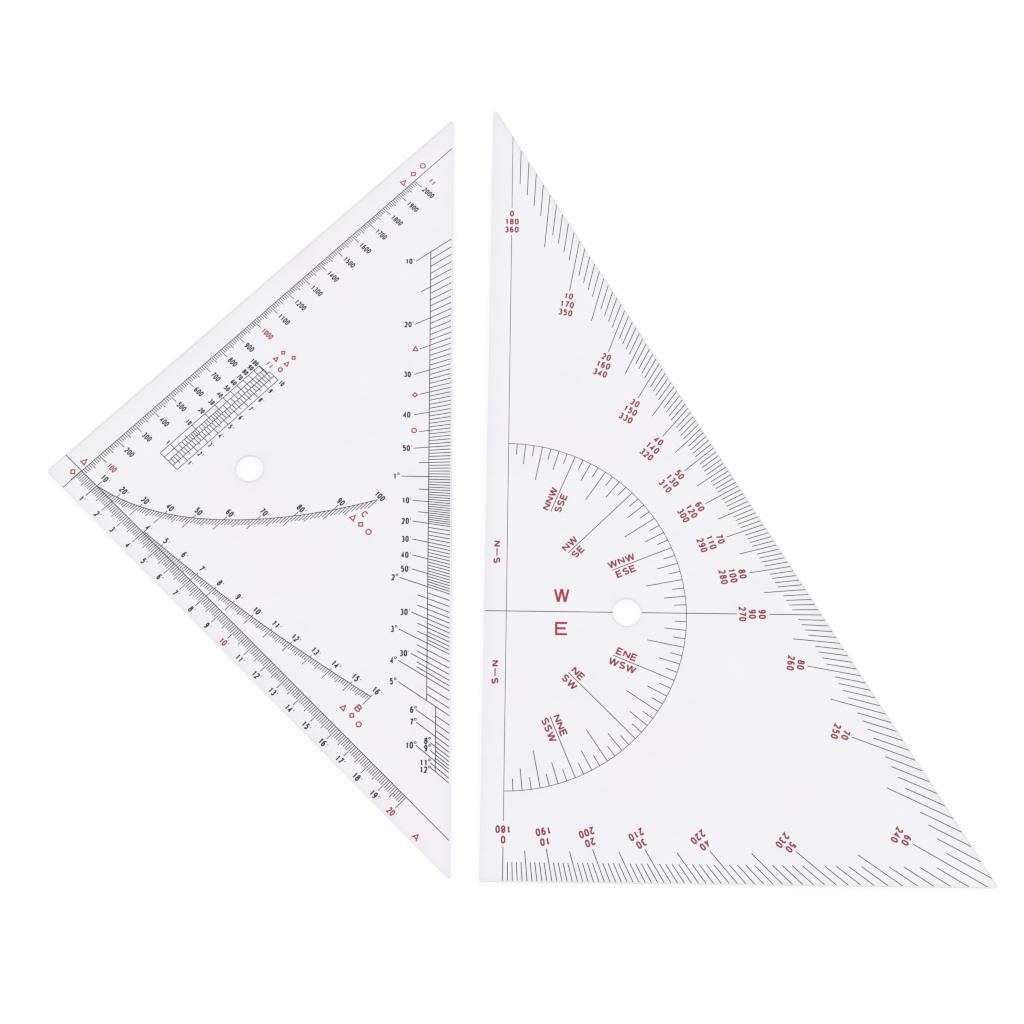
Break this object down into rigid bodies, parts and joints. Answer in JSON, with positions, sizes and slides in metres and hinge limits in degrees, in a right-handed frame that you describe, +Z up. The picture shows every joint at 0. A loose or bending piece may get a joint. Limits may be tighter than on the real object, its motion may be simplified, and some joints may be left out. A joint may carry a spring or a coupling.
{
  "type": "pair of set squares",
  "caption": "Pair of flat clear acrylic navigation set squares, a 45 degree and a 30/60 degree plate with printed scales, one sliding along the guide edge of the other.",
  "frame": {"origin": "middle of the pair's box, on the surface that both plates lie on", "axes": "+Z up through the plates; +Y along the guide edge of the 45 degree plate, away from the reader; +X from the 45 degree plate towards the 30/60 degree plate"},
  "size_m": [0.3896, 0.3574, 0.002],
  "materials": {
    "acrylic_45": "gloss",
    "acrylic_60": "gloss"
  },
  "bodies": {
    "square_45": {"set_square_45": "acrylic_45"},
    "square_60": {"set_square_60": "acrylic_60"}
  },
  "joints": [
    {"name": "slide_along_guide", "type": "slide", "parent": "square_45", "child": "square_60", "axis": [0, 1, 0], "range_m": [-0.17, 0.17]}
  ]
}
